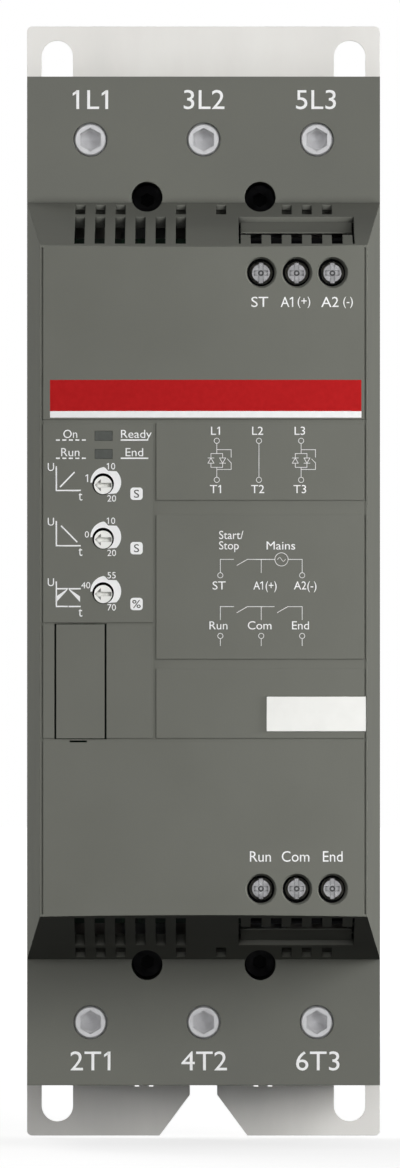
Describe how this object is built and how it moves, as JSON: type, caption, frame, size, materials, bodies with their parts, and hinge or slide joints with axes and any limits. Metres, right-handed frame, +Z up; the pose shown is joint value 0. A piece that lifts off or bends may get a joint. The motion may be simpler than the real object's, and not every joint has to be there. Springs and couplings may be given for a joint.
{
  "type": "soft starter",
  "caption": "Slim grey three-pole soft starter on a slotted steel plate, with terminal shoulders, vented nose, dials and a crowned front.",
  "frame": {"origin": "centre of the mounting plate's rear face", "axes": "+Z up the wall, +Y into the wall, +X to the right as seen from the front"},
  "size_m": [0.07, 0.18, 0.22],
  "materials": {
    "plate_steel": "zinc-plated sheet steel, satin",
    "screw_steel": "plated steel",
    "black_steel": "black oxide",
    "sink_metal": "extruded, satin",
    "housing_plastic": "fine moulded texture",
    "cover_plastic": "fine moulded texture",
    "white_plastic": "smooth",
    "black_plastic": "fine moulded texture",
    "block_plastic": "fine moulded texture",
    "window_plastic": "smoked, smooth",
    "module_plastic": "fine moulded texture",
    "red_plastic": "moulded",
    "bar_copper": "tinned copper, satin",
    "spacer_brass": "turned",
    "board_green": "solder mask",
    "clamp_metal": "nickel-plated brass",
    "dial_plastic": "smooth"
  },
  "bodies": {
    "root": {"mounting_plate": "plate_steel", "plate_screws": "screw_steel", "heat_sink": "sink_metal", "rear_housing": "housing_plastic", "front_housing": "housing_plastic", "housing_screws": "black_steel", "front_cover": "cover_plastic", "marker_tag": "white_plastic", "fieldbus_socket": "black_plastic", "upper_indicator": "window_plastic", "lower_indicator": "window_plastic", "potentiometers": "black_plastic", "thyristor_module_1": "module_plastic", "thyristor_module_3": "module_plastic", "module_screws": "screw_steel", "line_bar_1": "bar_copper", "line_bar_3": "bar_copper", "load_bar_1": "bar_copper", "load_bar_3": "bar_copper", "through_bar": "bar_copper", "bar_insulators": "red_plastic", "bar_screws": "screw_steel", "bypass_relay_1": "black_plastic", "bypass_relay_3": "black_plastic", "power_board": "board_green", "board_spacers": "spacer_brass", "control_board": "board_green", "control_block": "block_plastic", "signal_block": "block_plastic", "contact_bars": "spacer_brass"},
    "dial_1": {"dial_1": "dial_plastic"},
    "dial_2": {"dial_2": "dial_plastic"},
    "dial_3": {"dial_3": "dial_plastic"},
    "line_screw_1": {"line_screw_1": "screw_steel"},
    "line_clamp_1": {"line_clamp_1": "clamp_metal"},
    "line_screw_2": {"line_screw_2": "screw_steel"},
    "line_clamp_2": {"line_clamp_2": "clamp_metal"},
    "line_screw_3": {"line_screw_3": "screw_steel"},
    "line_clamp_3": {"line_clamp_3": "clamp_metal"},
    "load_screw_1": {"load_screw_1": "screw_steel"},
    "load_clamp_1": {"load_clamp_1": "clamp_metal"},
    "load_screw_2": {"load_screw_2": "screw_steel"},
    "load_clamp_2": {"load_clamp_2": "clamp_metal"},
    "load_screw_3": {"load_screw_3": "screw_steel"},
    "load_clamp_3": {"load_clamp_3": "clamp_metal"},
    "control_screw_1": {"control_screw_1": "screw_steel"},
    "control_clamp_1": {"control_clamp_1": "clamp_metal"},
    "control_screw_2": {"control_screw_2": "screw_steel"},
    "control_clamp_2": {"control_clamp_2": "clamp_metal"},
    "control_screw_3": {"control_screw_3": "screw_steel"},
    "control_clamp_3": {"control_clamp_3": "clamp_metal"},
    "signal_screw_1": {"signal_screw_1": "screw_steel"},
    "signal_clamp_1": {"signal_clamp_1": "clamp_metal"},
    "signal_screw_2": {"signal_screw_2": "screw_steel"},
    "signal_clamp_2": {"signal_clamp_2": "clamp_metal"},
    "signal_screw_3": {"signal_screw_3": "screw_steel"},
    "signal_clamp_3": {"signal_clamp_3": "clamp_metal"},
    "fieldbus_cover": {"fieldbus_cover": "cover_plastic"}
  },
  "joints": [
    {"name": "dial_1_turn", "type": "hinge", "parent": "root", "child": "dial_1", "pos_m": [-0.0193, -0.17, 0.01839], "axis": [0, 1, 0], "range_deg": [0, 240]},
    {"name": "dial_2_turn", "type": "hinge", "parent": "root", "child": "dial_2", "pos_m": [-0.0193, -0.17, 0.00793], "axis": [0, 1, 0], "range_deg": [0, 240]},
    {"name": "dial_3_turn", "type": "hinge", "parent": "root", "child": "dial_3", "pos_m": [-0.0193, -0.17, -0.00253], "axis": [0, 1, 0], "range_deg": [0, 240]},
    {"name": "line_screw_1_turn", "type": "hinge", "parent": "root", "child": "line_screw_1", "pos_m": [-0.022, -0.1, 0.0858], "axis": [0, 1, 0], "range_deg": [0, 2160]},
    {"name": "line_clamp_1_rise", "type": "slide", "parent": "root", "child": "line_clamp_1", "axis": [0, -1, 0], "range_m": [0, 0.0075]},
    {"name": "line_screw_2_turn", "type": "hinge", "parent": "root", "child": "line_screw_2", "pos_m": [0, -0.1, 0.0858], "axis": [0, 1, 0], "range_deg": [0, 2160]},
    {"name": "line_clamp_2_rise", "type": "slide", "parent": "root", "child": "line_clamp_2", "axis": [0, -1, 0], "range_m": [0, 0.0075]},
    {"name": "line_screw_3_turn", "type": "hinge", "parent": "root", "child": "line_screw_3", "pos_m": [0.022, -0.1, 0.0858], "axis": [0, 1, 0], "range_deg": [0, 2160]},
    {"name": "line_clamp_3_rise", "type": "slide", "parent": "root", "child": "line_clamp_3", "axis": [0, -1, 0], "range_m": [0, 0.0075]},
    {"name": "load_screw_1_turn", "type": "hinge", "parent": "root", "child": "load_screw_1", "pos_m": [-0.022, -0.1, -0.0858], "axis": [0, 1, 0], "range_deg": [0, 2160]},
    {"name": "load_clamp_1_rise", "type": "slide", "parent": "root", "child": "load_clamp_1", "axis": [0, -1, 0], "range_m": [0, 0.0075]},
    {"name": "load_screw_2_turn", "type": "hinge", "parent": "root", "child": "load_screw_2", "pos_m": [0, -0.1, -0.0858], "axis": [0, 1, 0], "range_deg": [0, 2160]},
    {"name": "load_clamp_2_rise", "type": "slide", "parent": "root", "child": "load_clamp_2", "axis": [0, -1, 0], "range_m": [0, 0.0075]},
    {"name": "load_screw_3_turn", "type": "hinge", "parent": "root", "child": "load_screw_3", "pos_m": [0.022, -0.1, -0.0858], "axis": [0, 1, 0], "range_deg": [0, 2160]},
    {"name": "load_clamp_3_rise", "type": "slide", "parent": "root", "child": "load_clamp_3", "axis": [0, -1, 0], "range_m": [0, 0.0075]},
    {"name": "control_screw_1_turn", "type": "hinge", "parent": "root", "child": "control_screw_1", "pos_m": [0.01103, -0.1, 0.0592], "axis": [0, 1, 0], "range_deg": [0, 1800]},
    {"name": "control_clamp_1_rise", "type": "slide", "parent": "root", "child": "control_clamp_1", "axis": [0, -1, 0], "range_m": [0, 0.0025]},
    {"name": "control_screw_2_turn", "type": "hinge", "parent": "root", "child": "control_screw_2", "pos_m": [0.0179, -0.1, 0.0592], "axis": [0, 1, 0], "range_deg": [0, 1800]},
    {"name": "control_clamp_2_rise", "type": "slide", "parent": "root", "child": "control_clamp_2", "axis": [0, -1, 0], "range_m": [0, 0.0025]},
    {"name": "control_screw_3_turn", "type": "hinge", "parent": "root", "child": "control_screw_3", "pos_m": [0.02477, -0.1, 0.0592], "axis": [0, 1, 0], "range_deg": [0, 1800]},
    {"name": "control_clamp_3_rise", "type": "slide", "parent": "root", "child": "control_clamp_3", "axis": [0, -1, 0], "range_m": [0, 0.0025]},
    {"name": "signal_screw_1_turn", "type": "hinge", "parent": "root", "child": "signal_screw_1", "pos_m": [0.01103, -0.1, -0.0592], "axis": [0, 1, 0], "range_deg": [0, 1800]},
    {"name": "signal_clamp_1_rise", "type": "slide", "parent": "root", "child": "signal_clamp_1", "axis": [0, -1, 0], "range_m": [0, 0.0025]},
    {"name": "signal_screw_2_turn", "type": "hinge", "parent": "root", "child": "signal_screw_2", "pos_m": [0.0179, -0.1, -0.0592], "axis": [0, 1, 0], "range_deg": [0, 1800]},
    {"name": "signal_clamp_2_rise", "type": "slide", "parent": "root", "child": "signal_clamp_2", "axis": [0, -1, 0], "range_m": [0, 0.0025]},
    {"name": "signal_screw_3_turn", "type": "hinge", "parent": "root", "child": "signal_screw_3", "pos_m": [0.02477, -0.1, -0.0592], "axis": [0, 1, 0], "range_deg": [0, 1800]},
    {"name": "signal_clamp_3_rise", "type": "slide", "parent": "root", "child": "signal_clamp_3", "axis": [0, -1, 0], "range_m": [0, 0.0025]},
    {"name": "fieldbus_cover_pull", "type": "slide", "parent": "root", "child": "fieldbus_cover", "axis": [0, -1, 0], "range_m": [0, 0.02]}
  ],
  "couplings": [
    {"joint": "line_screw_1_turn", "follows": "line_clamp_1_rise", "rad_per_m": 5026.5},
    {"joint": "line_screw_2_turn", "follows": "line_clamp_2_rise", "rad_per_m": 5026.5},
    {"joint": "line_screw_3_turn", "follows": "line_clamp_3_rise", "rad_per_m": 5026.5},
    {"joint": "load_screw_1_turn", "follows": "load_clamp_1_rise", "rad_per_m": 5026.5},
    {"joint": "load_screw_2_turn", "follows": "load_clamp_2_rise", "rad_per_m": 5026.5},
    {"joint": "load_screw_3_turn", "follows": "load_clamp_3_rise", "rad_per_m": 5026.5},
    {"joint": "control_screw_1_turn", "follows": "control_clamp_1_rise", "rad_per_m": 12566},
    {"joint": "control_screw_2_turn", "follows": "control_clamp_2_rise", "rad_per_m": 12566},
    {"joint": "control_screw_3_turn", "follows": "control_clamp_3_rise", "rad_per_m": 12566},
    {"joint": "signal_screw_1_turn", "follows": "signal_clamp_1_rise", "rad_per_m": 12566},
    {"joint": "signal_screw_2_turn", "follows": "signal_clamp_2_rise", "rad_per_m": 12566},
    {"joint": "signal_screw_3_turn", "follows": "signal_clamp_3_rise", "rad_per_m": 12566}
  ]
}
